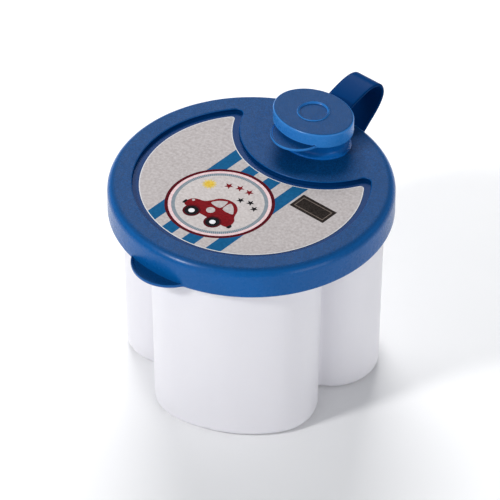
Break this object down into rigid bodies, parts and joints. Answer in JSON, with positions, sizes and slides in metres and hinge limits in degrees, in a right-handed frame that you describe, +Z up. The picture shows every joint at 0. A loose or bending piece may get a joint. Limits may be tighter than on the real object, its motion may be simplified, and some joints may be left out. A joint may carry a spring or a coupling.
{
  "type": "formula dispenser",
  "caption": "Baby formula dispenser: a lobed milky cup divided into powder compartments, under a round turning lid with an oval pouring spout, a snap cap on a flat strap and a lifting tab.",
  "frame": {"origin": "on the cup's axis, at its base", "axes": "+Z up along the axis that the lid turns about, +Y towards the spout and the strap at rest, -Y towards the lid's lifting tab"},
  "size_m": [0.108, 0.1298, 0.0975],
  "materials": {
    "cup": "milky translucent polypropylene, satin outside",
    "lid": "blue polypropylene with a fine moulded grain on top and smooth sides",
    "cap": "blue polypropylene, satin",
    "strap": "blue flexible polypropylene strip, satin",
    "label": "printed film under a satin varnish",
    "seal": "soft translucent silicone"
  },
  "bodies": {
    "cup": {"container": "cup"},
    "seal": {"rim_seal": "seal"},
    "lid": {"lid": "lid", "lid_label": "label"},
    "strap_1": {"strap_link_1": "strap"},
    "strap_2": {"strap_link_2": "strap"},
    "strap_3": {"strap_link_3": "strap"},
    "strap_4": {"strap_link_4": "strap"},
    "strap_5": {"strap_link_5": "strap"},
    "strap_6": {"strap_link_6": "strap"},
    "strap_7": {"strap_link_7": "strap"},
    "cap": {"cap": "cap"}
  },
  "joints": [
    {"name": "lid_lift", "type": "slide", "parent": "cup", "child": "seal", "axis": [0, 0, 1], "range_m": [0, 0.03]},
    {"name": "lid_turn", "type": "hinge", "parent": "seal", "child": "lid", "pos_m": [0, 0, 0.0826], "axis": [0, 0, 1], "continuous": true},
    {"name": "strap_bend_1", "type": "hinge", "parent": "lid", "child": "strap_1", "pos_m": [0, 0.05642, 0.07555], "axis": [-1, 0, 0], "range_deg": [0, 3.68]},
    {"name": "strap_bend_2", "type": "hinge", "parent": "strap_1", "child": "strap_2", "pos_m": [0, 0.06259, 0.08079], "axis": [-1, 0, 0], "range_deg": [0, 5.52]},
    {"name": "strap_bend_3", "type": "hinge", "parent": "strap_2", "child": "strap_3", "pos_m": [0, 0.06752, 0.08547], "axis": [-1, 0, 0], "range_deg": [0, 23.92]},
    {"name": "strap_bend_4", "type": "hinge", "parent": "strap_3", "child": "strap_4", "pos_m": [0, 0.06932, 0.08981], "axis": [-1, 0, 0], "range_deg": [0, 43.7]},
    {"name": "cap_open", "type": "hinge", "parent": "strap_4", "child": "strap_5", "pos_m": [0, 0.06759, 0.09391], "axis": [-1, 0, 0], "range_deg": [0, 46]},
    {"name": "strap_bend_6", "type": "hinge", "parent": "strap_5", "child": "strap_6", "pos_m": [0, 0.06379, 0.09551], "axis": [-1, 0, 0], "range_deg": [0, 33.12]},
    {"name": "strap_bend_7", "type": "hinge", "parent": "strap_6", "child": "strap_7", "pos_m": [0, 0.05811, 0.09516], "axis": [-1, 0, 0], "range_deg": [0, 16.1]},
    {"name": "strap_bend_8", "type": "hinge", "parent": "strap_7", "child": "cap", "pos_m": [0, 0.051, 0.09313], "axis": [-1, 0, 0], "range_deg": [0, 4.14]}
  ],
  "couplings": [
    {"joint": "strap_bend_1", "follows": "cap_open", "ratio": 0.08},
    {"joint": "strap_bend_2", "follows": "cap_open", "ratio": 0.12},
    {"joint": "strap_bend_3", "follows": "cap_open", "ratio": 0.52},
    {"joint": "strap_bend_4", "follows": "cap_open", "ratio": 0.95},
    {"joint": "strap_bend_6", "follows": "cap_open", "ratio": 0.72},
    {"joint": "strap_bend_7", "follows": "cap_open", "ratio": 0.35},
    {"joint": "strap_bend_8", "follows": "cap_open", "ratio": 0.09}
  ]
}
